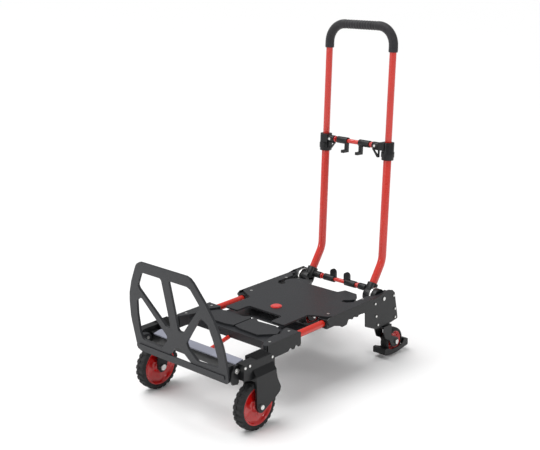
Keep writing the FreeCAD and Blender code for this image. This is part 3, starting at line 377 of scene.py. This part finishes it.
def middle_of(node):
    low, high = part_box(node)
    return (low + high) / 2


def wheel_size(node):
    """Radius and half width of a tyre's CAD node."""
    low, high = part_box(node)
    return (high.z - low.z) / 2, (high.x - low.x) / 2


TREAD_LUGS = 24
TREAD_DEPTH = 2.6 * MM


def lug_height(angle, row):
    """1 on a tread lug and 0 in a groove; the two rows are staggered."""
    turn = (angle * TREAD_LUGS / (2 * math.pi) + row * 0.5) % 1.0
    return 1.0 if 0.02 < turn < 0.6 else 0.0


def tyre_section(radius, half, bore, lugs):
    """A tyre's closed section, with staggered shoulder lugs where asked."""
    low = radius - TREAD_DEPTH

    def section(angle):
        left = lug_height(angle, 0) * TREAD_DEPTH if lugs else TREAD_DEPTH
        right = lug_height(angle, 1) * TREAD_DEPTH if lugs else TREAD_DEPTH
        outer = [
            (-half * 0.86, bore), (-half * 0.98, bore + 1.5 * MM), (-half, bore + 5 * MM),
            (-half * 0.97, low - 5 * MM), (-half * 0.95, low - 3.4 * MM + left * 0.8),
            (-half * 0.8, low - 0.8 * MM + left * 0.95), (-half * 0.42, low + left), (-half * 0.1, low + left),
            (-half * 0.04, low), (half * 0.04, low),
            (half * 0.1, low + right), (half * 0.42, low + right), (half * 0.8, low - 0.8 * MM + right * 0.95),
            (half * 0.95, low - 3.4 * MM + right * 0.8), (half * 0.97, low - 5 * MM),
            (half, bore + 5 * MM), (half * 0.98, bore + 1.5 * MM), (half * 0.86, bore),
        ]
        return outer

    return section


def plain_tyre_section(radius, half, bore):
    """A rounded caster tyre's closed section."""
    line = smooth_line([
        (-half * 0.9, bore), (-half, bore + 1.2 * MM), (-half, radius - 4.5 * MM), (-half * 0.72, radius - 1.1 * MM),
        (-half * 0.3, radius), (half * 0.3, radius), (half * 0.72, radius - 1.1 * MM), (half, radius - 4.5 * MM),
        (half, bore + 1.2 * MM), (half * 0.9, bore),
    ], 3)
    return lambda angle: line


def hub_section(half, rim, boss, bore, dish, spokes, spoke_depth):
    """A dished wheel centre; shallow spokes swell the dish."""
    def section(angle):
        swell = (0.5 + 0.5 * math.cos(spokes * angle)) ** 2 * spoke_depth
        middle = half * dish + swell
        face = smooth_line([
            (half, rim - 0.6 * MM), (half * 0.97, rim - 2.2 * MM), (half * 0.8, rim - 4 * MM),
            (middle + half * 0.1, rim - 8 * MM), (middle, (rim + boss) / 2), (middle + half * 0.06, boss + 5 * MM),
            (half * 0.8, boss + 1.6 * MM), (half, boss - 0.8 * MM), (half, bore),
        ], 4)
        back = [(-x, r) for x, r in reversed(face)]
        return face + back + [(-half, rim), (half, rim)]
    return section


def build_wheels(materials):
    for side in SIDES:
        tyre, hub = f"front_tyre_{side}", f"front_hub_{side}"
        radius, half = wheel_size(tyre)
        bore = wheel_size(hub)[0]
        body = f"front_wheel_{side}"
        section = tyre_section(radius, half, bore, True)
        mesh_data = lathe(middle_of(tyre), section, TREAD_LUGS * 16)
        new_piece(f"treaded_tyre_{side}", mesh_data, materials["tyre_rubber"], body, [tyre])
        section = hub_section(wheel_size(hub)[1], bore, 13 * MM, 5.1 * MM, 0.3, 5, 2.2 * MM)
        mesh_data = lathe(middle_of(hub), section, 120)
        new_piece(f"dished_hub_{side}", mesh_data, materials["hub_red"], body, [hub])

        tyre, hub = f"caster_tyre_{side}", f"caster_hub_{side}"
        radius, half = wheel_size(tyre)
        bore = wheel_size(hub)[0]
        body = f"caster_wheel_{side}"
        mesh_data = lathe(middle_of(tyre), plain_tyre_section(radius, half, bore), 96)
        new_piece(f"round_tyre_{side}", mesh_data, materials["tyre_rubber"], body, [tyre])
        section = hub_section(wheel_size(hub)[1], bore, 8 * MM, 4.1 * MM, 0.35, 8, 1.6 * MM)
        mesh_data = lathe(middle_of(hub), section, 96)
        new_piece(f"spoked_hub_{side}", mesh_data, materials["hub_red"], body, [hub])


# ---------------------------------------------------------------- foam grip

HANDLE_TILT = math.radians(3.3)
HANDLE_CORNER = 50 * MM
GRIP_RADIUS = 12.4 * MM
GRIP_BORE = 9.35 * MM
GRIP_RIPPLES = 13
RIPPLE_DEPTH = 0.9 * MM


def grip_line(foot, top, half):
    """Points and shares of the way along the grip's upside-down U, in the handle's plane."""
    straight = top - HANDLE_CORNER - foot
    points = [Vector((-half, 0, foot + straight * step / 8)) for step in range(8)]
    for step in range(13):
        angle = math.pi - math.pi / 2 * step / 12
        points.append(Vector((-half + HANDLE_CORNER + HANDLE_CORNER * math.cos(angle), 0,
                              top - HANDLE_CORNER + HANDLE_CORNER * math.sin(angle))))
    bar = 2 * (half - HANDLE_CORNER)
    points += [Vector((-half + HANDLE_CORNER + bar * step / 130, 0, top)) for step in range(1, 130)]
    mirrored = [Vector((-point.x, 0, point.z)) for point in reversed(points[:21])]
    return points + mirrored


def sweep(points, radius_at, bore, place):
    """A tube along a line in the XZ plane, open at the bore and closed at its ends."""
    mesh_data = bmesh.new()
    rings = []
    last = len(points) - 1
    for index, point in enumerate(points):
        ahead = (points[min(index + 1, last)] - points[max(index - 1, 0)]).normalized()
        across = Vector((0, 1, 0)).cross(ahead)
        rings.append((point, across, radius_at(index, point)))
    order = [(ring, ring[2]) for ring in rings] + [(ring, bore) for ring in reversed(rings)]
    loops = []
    for (point, across, _), radius in order:
        loop = []
        for step in range(32):
            angle = 2 * math.pi * step / 32
            offset = across * math.cos(angle) * radius + Vector((0, 1, 0)) * math.sin(angle) * radius
            loop.append(mesh_data.verts.new(place @ (point + offset)))
        loops.append(loop)
    grid_faces(mesh_data, loops)
    return mesh_data


def build_grip(materials):
    """The foam grip, with soft ripples under the fingers along its bar."""
    low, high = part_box("handle_grip")
    tilt = Matrix.Rotation(-HANDLE_TILT, 4, "X")
    half = (high.x - low.x) / 2 - 12.5 * MM
    bar_height = high.z - 12.5 * MM
    bar_depth = high.y - 12.5 * MM
    place = Matrix.Translation((0, bar_depth, bar_height)) @ tilt
    length = (bar_height - low.z) / math.cos(HANDLE_TILT)
    points = grip_line(-length, 0, half)
    reach = half - HANDLE_CORNER

    def radius_at(index, point):
        if index in (0, len(points) - 1):
            return GRIP_RADIUS - 0.8 * MM
        if abs(point.x) > reach * 0.96:
            return GRIP_RADIUS
        wave = math.cos(math.pi * GRIP_RIPPLES * point.x / reach)
        return GRIP_RADIUS - RIPPLE_DEPTH * (0.5 - 0.5 * wave)

    mesh_data = sweep(points, radius_at, GRIP_BORE, place)
    new_piece("rippled_grip", mesh_data, materials["grip_foam"], "handle_upper", ["handle_grip"])


materials = make_materials()
add_camera()
add_lights()
add_floor()
dress_frame(materials)
build_wheels(materials)
build_grip(materials)
